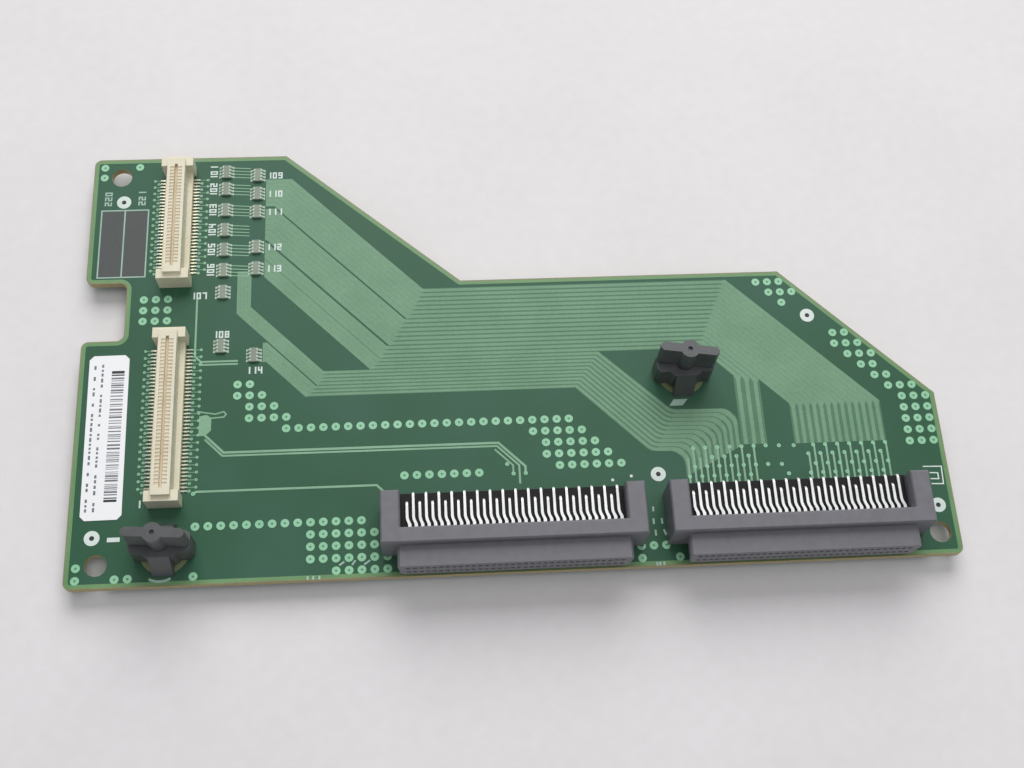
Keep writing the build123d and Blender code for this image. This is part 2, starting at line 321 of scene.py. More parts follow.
def board_material():
    """Dark green mask over a fine weave on the faces, and bare laminate on the edges."""
    m = Nodes("solder_mask")
    weave = m.mix(0.5, m.wave(0.55, "X"), m.wave(0.55, "Y"))
    drift = m.noise(22, 2.0)
    mask = m.ramp(drift, [(0.32, colour(40, 88, 60)), (0.5, colour(46, 92, 67)), (0.68, colour(54, 96, 76))])
    mask = m.mix(m.span(weave, 0.0, 0.12), mask, colour(74, 122, 94))
    layers = m.wave(0.28, "Z", 1.4)
    laminate = m.ramp(layers, [(0.2, colour(150, 128, 84)), (0.8, colour(204, 190, 142))])
    normal = m.add("ShaderNodeSeparateXYZ")
    m.link(m.add("ShaderNodeNewGeometry").outputs["True Normal"], normal.inputs[0])
    upright = m.add("ShaderNodeMath", operation="ABSOLUTE")
    m.link(normal.outputs["Z"], upright.inputs[0])
    face = m.span(upright.outputs[0], 0.0, 1.0, 0.4, 0.6)
    m.bump(weave, 0.008, 0.5)
    return m.finish(m.mix(face, laminate, mask), m.span(drift, 0.38, 0.5), Specular_IOR_Level=0.3)


def band_material():
    """The rim where no copper backs the mask, so that the yellow laminate shines through it."""
    m = Nodes("rim_mask")
    drift = m.noise(9, 3.0)
    weave = m.noise(0.5, 2.0)
    tone = m.ramp(drift, [(0.3, colour(92, 140, 88)), (0.7, colour(110, 156, 102))])
    tone = m.mix(m.span(weave, 0.0, 0.25), tone, colour(138, 166, 112))
    m.bump(weave, 0.01, 0.5)
    return m.finish(tone, m.span(drift, 0.38, 0.5))


def metal_material(name, dark, light, rough, stretch=(1, 1, 1), metallic=1.0):
    m = Nodes(name)
    streak = m.noise(0.35, 3.0, stretch)
    drift = m.noise(3, 2.0)
    fine = m.ramp(streak, [(0.3, dark), (0.7, light)])
    slow = m.ramp(drift, [(0.3, dark), (0.7, light)])
    tone = m.mix(0.5, fine, slow)
    m.bump(streak, 0.006, 0.5)
    return m.finish(tone, m.span(drift, *rough), metallic)


# Plain surfaces, each as a darker and a paler tone, the grain in mm, the roughness and the relief in mm
surfaces = {
    "rim_edge": ((118, 128, 86), (142, 148, 104), 0.5, (0.4, 0.5), 0.008),
    "masked_copper": ((112, 152, 120), (128, 166, 135), 0.6, (0.4, 0.5), 0.006),
    "masked_field": ((80, 122, 94), (94, 134, 106), 0.6, (0.4, 0.5), 0.006),
    "masked_line": ((132, 174, 142), (150, 190, 160), 0.6, (0.38, 0.48), 0.006),
    "masked_dot": ((138, 200, 158), (160, 216, 178), 0.5, (0.34, 0.44), 0.008),
    "via_centre": ((80, 128, 92), (102, 148, 112), 0.2, (0.35, 0.5), 0.01),
    "panel_print": ((70, 75, 73), (82, 85, 84), 0.8, (0.5, 0.62), 0.008),
    "white_print": ((206, 224, 214), (232, 240, 235), 0.35, (0.5, 0.65), 0.01),
    "pale_print": ((150, 182, 165), (178, 204, 190), 0.35, (0.5, 0.65), 0.01),
    "label_paper": ((250, 251, 253), (255, 255, 255), 0.7, (0.5, 0.62), 0.01),
    "label_ink": ((96, 98, 106), (142, 144, 150), 0.5, (0.45, 0.6), 0.004),
    "dark_print": ((26, 28, 30), (44, 46, 48), 0.4, (0.5, 0.6), 0.006),
    "black_moulding": ((106, 106, 111), (120, 119, 125), 0.16, (0.4, 0.52), 0.01),
    # painted shade: near black, for the plates under the port contacts
    "dark_moulding": ((20, 18, 19), (32, 29, 30), 0.16, (0.55, 0.66), 0.01),
    "black_nylon": ((74, 76, 77), (92, 93, 94), 0.3, (0.3, 0.44), 0.02),
    "cream_moulding": ((226, 218, 190), (240, 234, 212), 0.3, (0.42, 0.55), 0.01),
    "network_ceramic": ((122, 134, 116), (148, 158, 140), 0.3, (0.4, 0.52), 0.01),
    # painted shade: the header cream darkened for the filled slot and cavities
    "slot_moulding": ((206, 188, 154), (228, 214, 186), 0.3, (0.45, 0.58), 0.01),
    "network_pads": ((168, 194, 172), (198, 216, 200), 0.3, (0.3, 0.42), 0.01),
}
dull_surfaces = ("masked_copper", "masked_field", "masked_line", "dark_moulding")
dull_shine = 0.25

materials = {"solder_mask": board_material(), "rim_mask": band_material()}
for name, (dark, light, *numbers) in surfaces.items():
    sockets = {"Specular_IOR_Level": dull_shine} if name in dull_surfaces else {}
    materials[name] = plain_material(name, colour(*dark), colour(*light), *numbers, **sockets)
materials["solder"] = metal_material("solder", colour(150, 160, 148), colour(192, 198, 186), (0.32, 0.46))
materials["tinned_contact"] = metal_material(
    "tinned_contact", colour(228, 229, 229), colour(250, 250, 248), (0.3, 0.42), (1, 0.1, 1), 0.3)
materials["spring_contact"] = metal_material(
    "spring_contact", colour(186, 176, 144), colour(220, 212, 184), (0.28, 0.42))

# The surface of each node carried over from the model, by a word in its name
node_surfaces = (
    ("circuit_board", "solder_mask"), ("trace", "masked_field"), ("panel", "panel_print"),
    ("label", "label_paper"), ("port_housing", "black_moulding"), ("contacts", "tinned_contact"),
    ("springs", "spring_contact"), ("header_housing", "cream_moulding"),
    ("resistor", "network_ceramic"), ("fastener", "black_nylon"))

# The rounding of the moulded nodes' edges, as a word in the name, the width in mm and the segments
node_rounding = (("fastener", 0.35, 3), ("port_housing", 0.12, 2), ("header_housing", 0.06, 2),
                 ("resistor", 0.08, 2))


def surface_of(name):
    for word, surface in node_surfaces:
        if word in name:
            return surface
    raise ValueError(name)


def soften(obj, width_mm, segments):
    """Rounds a moulded node's sharp edges a little."""
    weld = obj.modifiers.new("weld", "WELD")
    weld.merge_threshold = 1e-6
    bevel = obj.modifiers.new("bevel", "BEVEL")
    bevel.width = width_mm * MM
    bevel.segments = segments
    bevel.limit_method = "ANGLE"
    bevel.angle_limit = math.radians(35)
    bevel.use_clamp_overlap = True
    bevel.harden_normals = True


for name, obj in nodes.items():
    obj.data.materials.clear()
    obj.data.materials.append(materials[surface_of(name)])
    for word, width_mm, segments in node_rounding:
        if word in name:
            soften(obj, width_mm, segments)


# The board's rim and holes

def top_loops():
    """The closed outlines of the board's top face, read from its node."""
    mesh = nodes["circuit_board"].data
    links = {}
    counted = {}
    for polygon in mesh.polygons:
        if polygon.normal.z < 0.9 or polygon.center.z < 0.5 * board_top * MM:
            continue
        keys = []
        for index in polygon.vertices:
            co = mesh.vertices[index].co
            key = (round(co.x / MM, 3), round(co.y / MM, 3))
            keys.append(key)
        for a, b in zip(keys, keys[1:] + keys[:1]):
            counted[(a, b)] = counted.get((a, b), 0) + 1
    for a, b in counted:
        if (b, a) not in counted:
            links[a] = b
    loops = []
    while links:
        start = next(iter(links))
        loop = [start]
        step = links.pop(start)
        while step != start:
            loop.append(step)
            step = links.pop(step)
        loops.append(loop)
    return loops


def offset_loop(loop, distance):
    """The same loop moved to its left by a distance, corner by corner."""
    moved = []
    count = len(loop)
    for i in range(count):
        behind = direction(loop[i - 1], loop[i])
        ahead = direction(loop[i], loop[(i + 1) % count])
        nx = -(ahead[1] + behind[1])
        ny = ahead[0] + behind[0]
        scale = distance * 2 / (nx * nx + ny * ny)
        moved.append((loop[i][0] + nx * scale, loop[i][1] + ny * scale))
    return moved


def loop_width(loop):
    xs = [p[0] for p in loop]
    return max(xs) - min(xs)


rim_width = 1.0
rim_edge_width = 0.32
rim_inset = 0.02
fastener_rim = 1.5
fastener_hole = 7.0
fastener_hole_slack = 0.3
least_board_width = 100

rim = Solids()
rim_edge = Solids()
for loop in top_loops():
    width = loop_width(loop)
    if width > least_board_width:
        rim.washer(offset_loop(loop, rim_edge_width), offset_loop(loop, rim_width), *field_layer)
        rim_edge.washer(offset_loop(loop, rim_inset), offset_loop(loop, rim_edge_width), *field_layer)
        rim.washer(offset_loop(loop, rim_inset), offset_loop(loop, rim_width), -field_high, 0)
    elif abs(width - fastener_hole) < fastener_hole_slack:
        rim_edge.washer(offset_loop(loop, fastener_rim), offset_loop(loop, rim_inset), *field_layer)
rim.piece("rim", materials["rim_mask"])
rim_edge.piece("rim_edge", materials["rim_edge"])


# Printed copper

# How much of a bundle's width is copper: on wide runs, on open ones, and where it bends, feeds or ends
wide_fill = 0.97
open_fill = 0.64
bank_fill = 0.52
bend_fill = wide_fill - 0.14
feed_fill = 0.5
narrow_fan_fill = wide_fill - 0.1
narrow_bank_fill = 0.45

# The length over which a conductor widens from one fill to the next
flare = 0.8


def part_way(a, b):
    return toward(a, b, min(flare, math.dist(a, b) / 2))


def bus(solids, ground, top, bottom, count, fills):
    """Parallel conductors between two edges, on a paler ground. Each run has its own share of copper."""
    ground.strip(on_board(top), on_board(bottom), *field_layer)
    last = len(top) - 1
    stops = []
    for i in range(last + 1):
        before = fills[max(i - 1, 0)]
        after = fills[min(i, last - 1)]
        if before < after:
            stops.append((part_way(top[i], top[i - 1]), part_way(bottom[i], bottom[i - 1]), before))
        stops.append((top[i], bottom[i], max(before, after)))
        if after < before:
            stops.append((part_way(top[i], top[i + 1]), part_way(bottom[i], bottom[i + 1]), after))
    for k in range(count):
        upper = []
        lower = []
        for a, b, fill in stops:
            for side, edge in ((-1, upper), (1, lower)):
                share = (k + 0.5 + side * fill / 2) / count
                edge.append((a[0] + (b[0] - a[0]) * share, a[1] + (b[1] - a[1]) * share))
        solids.strip(on_board(upper), on_board(lower), *print_layer)


def rounded(path, radius, steps=4):
    """The same path with each bend turned into an arc-like run of short steps."""
    soft = [path[0]]
    for before, corner, after in zip(path, path[1:], path[2:]):
        reach = min(radius, math.dist(before, corner) / 2, math.dist(corner, after) / 2)
        start = toward(corner, before, reach)
        end = toward(corner, after, reach)
        for i in range(steps + 1):
            t = i / steps
            near = [start[k] + (corner[k] - start[k]) * t for k in (0, 1)]
            far = [corner[k] + (end[k] - corner[k]) * t for k in (0, 1)]
            soft.append((near[0] + (far[0] - near[0]) * t, near[1] + (far[1] - near[1]) * t))
    return soft + [path[-1]]


# Bends shared by the bundles, from the dots' grid
branch_round = 1.2
branch_top = rounded(
    [(60.8, 35.4), (75.1, 21.6), (86.7, 21.4), (88.8, 19.3), (88.8, 12.9)], branch_round)
branch_bottom = rounded(
    [(55.2, 27.2), (69.8, 12.4), (74.8, 12.3), (76.7, 10.4), (76.7, 6.6)], branch_round)
branch_fills = [open_fill] * 6 + [bend_fill] * 5 + [open_fill] * 5 + [feed_fill]


def branch_edge(share):
    return between(branch_top, branch_bottom, share)


# The bundles, each as its count of conductors, its upper edge, its lower edge and each run's fill
bundles = [
    (7,
     [(-10.2, 79.9), (-4.5, 79.9), (23.8, 51.6), (89.9, 51.6), (119.5, 22.0), (119.5, 13.0)],
     [(-10.2, 73.0), (-8.3, 73.0), (20.25, 44.45), (86.63, 44.45), (109.1, 22.0), (109.1, 13.0)],
     [wide_fill, wide_fill, open_fill, wide_fill, bank_fill]),
    (6,
     [(-10.2, 72.4), (-8.2, 72.4), (19.75, 44.45), (86.63, 44.45), (109.1, 22.0), (109.1, 13.0)],
     [(-10.2, 64.5), (-9.8, 64.5), (16.4, 38.3), (83.83, 38.3), (100.1, 22.0), (100.1, 13.0)],
     [wide_fill, wide_fill, open_fill, wide_fill, bank_fill]),
    (3,
     [(-10.2, 63.9), (-9.8, 63.9), (15.8, 38.3), (83.83, 38.3), (94.4, 27.7), (94.4, 13.2)],
     [(-10.2, 60.0), (-10.1, 59.9), (14.4, 35.4), (82.5, 35.4), (89.0, 28.8), (89.0, 13.2)],
     [wide_fill, wide_fill, open_fill, narrow_fan_fill, narrow_bank_fill]),
    (3,
     [(-10.2, 59.9), (-10.1, 59.8), (14.3, 35.4)] + branch_edge(0.0),
     [(-10.2, 55.6), (-10.1, 55.4), (12.3, 32.94)] + branch_edge(0.3),
     [wide_fill, wide_fill] + branch_fills),
    (4,
     [(-12.9, 57.0), (-12.9, 48.4), (2.5, 32.94)] + branch_edge(0.3),
     [(-15.9, 57.0), (-15.9, 46.9), (1.3, 29.66)] + branch_edge(0.7),
     [wide_fill, wide_fill] + branch_fills),
    (3,
     [(-10.2, 39.9), (-9.3, 39.9), (0.94, 29.66)] + branch_edge(0.7),
     [(-10.2, 35.4), (-9.4, 35.4), (-1.2, 27.2)] + branch_edge(1.0),
     [wide_fill, wide_fill] + branch_fills),
]

copper = Solids()
ground = Solids()
for count, top, bottom, fills in bundles:
    bus(copper, ground, top, bottom, count, fills)
copper.piece("copper_buses", materials["masked_copper"])
ground_piece = ground.piece("copper_ground", materials["masked_field"])
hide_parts("trace_field")

# Single conductors: bright lines, and the dimmer stubs of the headers
lines = Solids()
stubs = Solids()
single_paths = [
    (0.5, [(-21.6, 19.4), (-17.7, 15.5), (38.4, 15.5), (43.7, 10.2), (43.7, 8.7)]),
    (0.4, [(-21.6, 18.5), (-17.9, 14.8), (38.1, 14.8), (42.45, 10.45), (42.45, 6.5)]),
    (0.35, [(37.6, 14.1), (40.0, 11.7), (41.2, 10.5), (41.2, 8.7)]),
    (0.45, [(-23.5, 6.9), (-22.9, 7.3), (13.3, 7.3), (15.6, 5.0)]),
    (0.4, [(-24.3, 51.0), (-24.3, 37.2), (-23.0, 35.9), (-15.3, 35.9)]),
    (0.4, [(-23.4, 35.2), (-15.3, 35.2)]),
    (0.3, [(-23.4, 24.7), (-19.6, 24.0), (-17.9, 24.5), (-17.4, 23.9), (-17.9, 23.3), (-19.6, 23.2),
           (-23.2, 22.8)]),
]
for width, path in single_paths:
    lines.line(on_board(path), width, *print_layer)

# Stubs above the right port, which end at two heights in turn and leave a gap
stub_first = 77.4
stub_pitch = 1.27
stub_count = 34
stub_gap = (91.5, 102)
stub_start = 3.2
stub_ends = (10.65, 12.8)
stub_width = 0.42
for k in range(stub_count):
    x = stub_first + k * stub_pitch
    if not stub_gap[0] < x < stub_gap[1]:
        lines.line(on_board([(x, stub_ends[k % 2]), (x, stub_start)]), stub_width, *stub_layer)

# Four lines between each pair of networks
network_pitch = 0.8
network_rows = [89.1, 84.7, 79.4, 74.4, 69.5, 64.5]
network_line_ends = (24.5, 28.3)
network_line_drop = 0.3
network_line_width = 0.22
for row in network_rows:
    for k in range(4):
        y = row + (k - 1.5) * network_pitch
        path = [(network_line_ends[0], y), (network_line_ends[1], y - network_line_drop)]
        lines.line(path, network_line_width, *stub_layer)

# A broad pad of copper beside the lower header
copper_pad = [(-22.9, 23.6), (-22.9, 19.3), (-21.6, 19.3), (-20.4, 20.4), (-20.4, 23.2), (-21.4, 23.9)]
lines.plate(on_board(copper_pad), *field_layer)
lines.piece("single_traces", materials["masked_line"])

# Plated dots, as (row, first column, last column) of the grid
dot_rows = [
    (0, -9, 4), (-1, 0, 5), (-2, 0, 5), (-3, 0, 6), (-4, 2, 6),
    (12, -6, -5), (11, -6, -4), (10, -5, -3), (9, -5, -2), (8, -2, 21),
    (7, 18, 22), (6, 19, 23), (5, 19, 24), (4, 20, 25),
    (20, 38, 40), (19, 39, 41), (18, 40, 40),
    (15, 44, 45), (14, 44, 46), (13, 45, 47), (12, 46, 47), (11, 47, 48), (10, 48, 50),
    (9, 49, 51), (8, 49, 51), (7, 49, 51), (6, 49, 51), (5, 49, 51),
    (20, -14, -12), (19, -14, -12), (18, -14, -12),
    (33, -18, -18), (33, -15, -15), (32, -18, -18),
    (-3, -18, -18), (-4, -18, -18), (-4, -15, -14), (-4, -9, -9),
    (-3, 26, 28), (-4, 26, 26), (-4, 29, 29),
]
# One more row off that grid, as its first x, its y and its count
extra_row = (18.95, 9.15, 7)
dot_radius = 0.87
via_radius = 0.24
via_plug = (board_top - 0.1, board_top + 0.008)

dots = Solids()
centres = Solids()
dot_places = [(i * dot_pitch, j * dot_pitch) for j, first, last in dot_rows for i in range(first, last + 1)]
dot_places += [(extra_row[0] + i * dot_pitch, extra_row[1]) for i in range(extra_row[2])]
for x, y in on_board(dot_places):
    dots.ring(x, y, dot_radius, via_radius, *paint_layer, 20)
    dots.ring(x, y, dot_radius, via_radius, -print_high, 0, 20)
    centres.disc(x, y, via_radius, *via_plug, 12)
dots.piece("plated_dots", materials["masked_dot"])

# Small vias: rows above the right port as (y, first x, count), and pairs beside the headers
via_rows = [
    (12.8, 78.67, 7), (12.7, 96.7, 1), (12.6, 99.8, 1), (12.6, 103.9, 7),
    (10.7, 82.45, 4), (10.7, 102.63, 7),
    (8.7, 78.67, 7), (8.6, 96.8, 1), (8.5, 103.9, 7),
    (6.6, 77.4, 6), (6.5, 98.0, 1), (6.5, 102.63, 7),
]
lone_vias = [(41.2, 8.7), (43.7, 8.7), (40.0, 10.8), (-23.5, 6.9)]
small_via = 0.42
small_hole = 0.14
vias = Solids()
via_places = [(x + i * dot_pitch, y) for y, x, count in via_rows for i in range(count)] + lone_vias
for x, y in on_board(via_places):
    vias.ring(x, y, small_via, small_hole, *paint_layer, 14)
    centres.disc(x, y, small_hole, *via_plug, 8)


# Headers: pads, solder and vias beside the feet

foot_pitch = 0.8
header_counts = {"lower": 40, "upper": 30}
pad_start = 2.9
pad_overhang = 0.2
pad_width = 0.4
pad_high = 0.05
solder_length = 0.5
solder_overhang = 0.15
solder_half = 0.18
solder_inset = 0.08
solder_base = 0.04
solder_crown = 0.23
header_via = 0.3
via_columns = {-1: (4.75, 5.55), 1: (4.7, 6.0)}
header_stub_half = 0.1
slot_floor = 2.0
slot_depth = 0.75
slot_side = 0.32
slot_end = 0.8
cavity_gap = 0.02
cavity_reach = 1.2
cavity_width = 0.43
cavity_depth = 0.12

foot_solder = Solids()
# The slot and the cavities, filled to below the top in a darker cream that paints the shade in them
slot_fill = Solids()


def header_foot(x, y, side, top, reach, via_reach):
    """What belongs to one foot: the filling of its cavity, in the darker cream of painted shade, its pad,
    its solder, its via and its stub.
    """
    x0, x1 = side_span(x, side, slot_side + cavity_gap, cavity_reach)
    slot_fill.box(x0, x1, y - cavity_width / 2, y + cavity_width / 2, top - slot_floor, top - cavity_depth)
    x0, x1 = side_span(x, side, pad_start, reach + pad_overhang)
    foot_solder.box(x0, x1, y - pad_width / 2, y + pad_width / 2, board_top, board_top + pad_high)
    x0, x1 = side_span(x, side, reach - solder_length, reach + solder_overhang)
    base = [(x0, y - solder_half), (x1, y - solder_half), (x1, y + solder_half), (x0, y + solder_half)]
    middle = ((x0 + x1) / 2, y)
    crown = [toward(corner, middle, solder_inset) for corner in base]
    foot_solder.loft([[(px, py, board_top + solder_base) for px, py in base],
                      [(px, py, board_top + solder_crown) for px, py in crown]])
    via_x = x + side * via_reach
    vias.ring(via_x, y, header_via, small_hole, *paint_layer, 12)
    centres.disc(via_x, y, small_hole, *via_plug, 8)
    x0, x1 = side_span(x, side, via_reach, reach + solder_overhang)
    stubs.box(x0, x1, y - header_stub_half, y + header_stub_half, *field_layer)


for level, count in header_counts.items():
    low, high = node_box(f"{level}_header_housing")
    header_x = (low.x + high.x) / 2
    centre_y = (low.y + high.y) / 2
    foot_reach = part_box(f"{level}_header_right_springs")[1].x / MM - header_x
    half_row = (count - 1) * foot_pitch / 2
    slot_fill.box(header_x - slot_side, header_x + slot_side, centre_y - half_row - slot_end,
                  centre_y + half_row + slot_end, high.z - slot_floor, high.z - slot_depth)
    for i in range(count):
        y = centre_y + (i - (count - 1) / 2) * foot_pitch
        for side in (-1, 1):
            header_foot(header_x, y, side, high.z, foot_reach, via_columns[side][i % 2])
foot_solder.piece("header_solder", materials["solder"])
slot_fill.piece("header_slot_shaded_fill", materials["slot_moulding"])
stubs.piece("header_stubs", materials["masked_copper"])
vias.piece("small_vias", materials["masked_dot"])
centres.piece("via_centres", materials["via_centre"])


# Resistor networks: pads, terminations and solder

cap_span = (-0.28, 0.03)
cap_half = 0.22
cap_rise = 0.03
land_span = (-0.05, 0.78)
land_half = 0.27
land_high = 0.04
fillet_reach = 0.62
fillet_half = 0.25
fillet_base = 0.03
shoulder_reach = 0.08
shoulder_half = 0.2
shoulder_drop = 0.12

ends = Solids()


def network_end(wall, y, side, top):
    """One metal end of a network, with its pad and its fillet of solder."""
    x0, x1 = side_span(wall, side, *cap_span)
    ends.box(x0, x1, y - cap_half, y + cap_half, board_top, top + cap_rise)
    x0, x1 = side_span(wall, side, *land_span)
    ends.box(x0, x1, y - land_half, y + land_half, board_top, board_top + land_high)
    rings = []
    for reach, half, z in ((fillet_reach, fillet_half, board_top + fillet_base),
                           (shoulder_reach, shoulder_half, top - shoulder_drop)):
        far = wall + side * reach
        outline = [(wall, y - half), (far, y - half), (far, y + half), (wall, y + half)]
        if side < 0:
            outline.reverse()
        rings.append([(px, py, z) for px, py in outline])
    ends.loft(rings)


for name in sorted(n for n in nodes if n.startswith("resistor_network")):
    low, high = node_box(name)
    middle = (low.x + high.x) / 2
    centre_y = (low.y + high.y) / 2
    half = (high.x - low.x) / 2
    for k in range(4):
        for side in (-1, 1):
            network_end(middle + side * half, centre_y + (k - 1.5) * network_pitch, side, high.z)
ends.piece("network_terminations", materials["network_pads"])


# White print, label and panel

white = Solids()
ring_outer = 1.55
ring_inner = 0.5
pupil_high = 0.01
fiducials = [(-41.1, 74.9), (-43.0, -1.6), (70.9, 7.4), (106.8, 42.4), (128.0, -1.5)]
pupils = Solids()
for x, y in on_board(fiducials):
    white.ring(x, y, ring_outer, ring_inner, *paint_layer, 32)
    pupils.disc(x, y, ring_inner, board_top, board_top + pupil_high, 20)
pupils.piece("ring_centres", materials["dark_print"])

panel_low, panel_high = node_box("marking_panel")
line_width = 0.3
divider_x = 1.2


def rectangle_loop(x0, x1, y0, y1):
    return [(x0, y0), (x1, y0), (x1, y1), (x0, y1)]


frame_lines = Solids()
frame_lines.washer(rectangle_loop(panel_low.x, panel_high.x, panel_low.y, panel_high.y),
                   rectangle_loop(panel_low.x + line_width, panel_high.x - line_width,
                                  panel_low.y + line_width, panel_high.y - line_width),
                   panel_high.z, panel_high.z + field_high)
frame_lines.box(divider_x - line_width / 2, divider_x + line_width / 2, panel_low.y + line_width,
                panel_high.y - line_width, panel_high.z, panel_high.z + field_high)
frame_lines.piece("panel_lines", materials["pale_print"])

# Plain numbers beside the networks, from straight strokes
numeral_size = (0.95, 1.6)
numeral_stroke = 0.32
numeral_step = 1.25
strokes = {"0": "abcdef", "1": "bc", "2": "abdeg", "3": "abcdg", "4": "bcfg", "5": "acdfg",
           "6": "acdefg", "7": "abc", "8": "abcdefg", "9": "abcdfg"}
cells = {(0, 0): "de", (1, 0): "d", (2, 0): "cd", (0, 1): "e", (2, 1): "c", (0, 2): "efg", (1, 2): "g",
         (2, 2): "bcg", (0, 3): "f", (2, 3): "b", (0, 4): "af", (1, 4): "a", (2, 4): "ab"}


def numeral(solids, text, x, y, upright):
    """A number centred on (x, y), read from the front, or from the right when it isn't upright."""
    width, height = numeral_size
    t = numeral_stroke
    columns = (0, t, width - t, width)
    rows = (0, t, (height - t) / 2, (height + t) / 2, height - t, height)
    overall = numeral_step * (len(text) - 1) + width
    for place, digit in enumerate(text):
        for (column, row), lit_by in cells.items():
            if not set(lit_by) & set(strokes[digit]):
                continue
            u0, u1 = (columns[column + k] + place * numeral_step - overall / 2 for k in (0, 1))
            v0, v1 = (rows[row + k] - height / 2 for k in (0, 1))
            if upright:
                solids.box(x + u0, x + u1, y + v0, y + v1, *paint_layer)
            else:
                solids.box(x - v1, x - v0, y + u0, y + u1, *paint_layer)


network_count = 14
left_networks = 8
first_upright = 7
number_columns = (20.2, 33.6)
moved_numbers = {7: (17.9, 58.6), 8: (22.9, 49.3), 14: (30.0, 40.8)}
for number in range(1, network_count + 1):
    low, high = node_box(f"resistor_network_{number}")
    beside = (number_columns[number > left_networks], (low.y + high.y) / 2)
    numeral(white, str(100 + number), *moved_numbers.get(number, beside), number >= first_upright)

patches = Solids()
for text, x, y in (("220", -2.6, 83.0), ("221", 4.7, 83.0)):
    numeral(patches, text, x, y, False)
numeral(white, "1", 7.6, 12.3, True)

# Corner brackets beside the right port, small marks, and a painted highlight in front of the right fastener
brackets = ([(168.1, 14.1), (172.0, 14.0), (171.8, 10.2), (169.3, 10.3)],
            [(169.3, 12.7), (171.0, 12.6), (171.0, 11.3), (169.3, 11.4)])
bracket_width = 0.25
spots = ((103.3, 13.7), (107.2, 14.4))
spot_radius = 0.32
strokes_between = (
    [(47.6, -1.9), (48.6, -1.2)], [(50.1, -1.95), (50.8, -1.0)], [(52.5, -1.95), (53.7, -1.1)],
    [(111.1, 7.7), (111.0, 6.7)], [(110.9, 5.2), (110.9, 4.0)], [(112.6, 5.2), (112.6, 4.0)],
    [(111.1, 2.8), (111.1, 1.6)], [(112.8, 2.8), (113.2, 1.6)])
stroke_width = 0.38
for path in brackets:
    white.line(path, bracket_width, *paint_layer)
for x, y in spots:
    white.disc(x, y, spot_radius, *paint_layer, 12)
for path in strokes_between:
    patches.line(path, stroke_width, *print_layer)
white.box(1.9, 4.4, 4.7, 5.6, *paint_layer)
# A painted highlight: the pale glint in front of the right fastener
patches.plate([(116.6, 29.6), (119.4, 29.6), (120.6, 31.0), (117.6, 31.0)], *paint_layer)

# The arc before the left fastener, a painted highlight, and the ticks on the front rim
arc_centre = (12.6, 2.6)
arc_reach = (5.2, 6.3)
arc_width = 0.5
arc = [(arc_centre[0] + arc_reach[0] * math.sin(math.radians(a)),
        arc_centre[1] - arc_reach[1] * math.cos(math.radians(a))) for a in range(-24, 25, 6)]
over_rim = (board_top + field_high, board_top + paint_high)
rim_ticks = (41.4, 42.5, 43.7, 110.8, 111.4, 112.2)
tick_half = 0.2
tick_ends = (-4.6, -3.85)
# The arc is a painted highlight: the glint in front of the left fastener
patches.line(arc, arc_width, *over_rim)
for x in rim_ticks:
    patches.box(x - tick_half, x + tick_half, *tick_ends, *over_rim)
patches.piece("pale_marks_and_highlights", materials["pale_print"])
white.piece("white_print", materials["white_print"])

# The label's bars and dashes, which encode nothing
label_top = node_box("paper_label")[1].z
ink_high = 0.01
heavy_ink_high = 0.012
bar_sides = (0.7, 3.3)
bar_run = (14.4, 40.0)
heavy_bars = ((13.0, 0.5), (13.7, 0.25), (40.5, 0.3), (41.0, 0.6))
dash_columns = (-2.75, -1.2)
dash_half = 0.22
dash_run = (11.0, 43.0)
ink = Solids()
heavy_ink = Solids()
rng = random.Random(7)


def ink_run(x0, x1, run, lengths, gaps):
    """Strokes between x0 and x1, whose lengths and gaps along the label are drawn at random."""
    y = run[0]
    while y < run[1]:
        length = rng.choice(lengths)
        ink.box(x0, x1, y, y + length, label_top, label_top + ink_high)
        y += length + rng.choice(gaps)


ink_run(*bar_sides, bar_run, (0.14, 0.18, 0.25, 0.4), (0.2, 0.25, 0.35, 0.5))
for y, thick in heavy_bars:
    heavy_ink.box(*bar_sides, y, y + thick, label_top, label_top + heavy_ink_high)
heavy_ink.piece("heavy_label_bars", materials["dark_print"])
for column in dash_columns:
    ink_run(column - dash_half, column + dash_half, dash_run, (0.5, 0.7, 0.9), (0.35, 0.45, 1.6))
ink.piece("label_bars", materials["label_ink"])


# Ports: the contacts with their jog and rounded bend, and the joints under the board

contact_pitch = 1.27
contacts_per_row = 34
contact_width = 0.45
contact_thick = 0.3
contact_flat = 0.52
# A contact's course behind the beam, each as a distance back, a step aside and the width there
contact_bends = ((-0.1, 0.48, 0.62), (1.45, 0.48, 0.64), (1.85, 0.32, 0.62), (2.3, 0.12, 0.58),
                 (2.9, 0, 0.54))
tail_spacing = 1.9
bend_radius = 0.7
bend_steps = 5
bend_thinning = 0.04
straight_end = 0.9
tail_taper = 0.1
beam_back = 2.75
joint_radius = 0.62
joint_profile = ((0.0, 1), (-0.2, 0.7), (-0.9, 0.42))


def contact_ring(x, y, z, turn, width):
    """One cross-section of a contact: turn is 0 on the flat run and 90 degrees on the tail."""
    across = math.sin(turn) * contact_thick / 2
    up = math.cos(turn) * contact_thick / 2
    corners = ((-1, -1), (1, -1), (1, 1), (-1, 1))
    return [(x + sx * width / 2, y + su * across, z + su * up) for su, sx in corners]


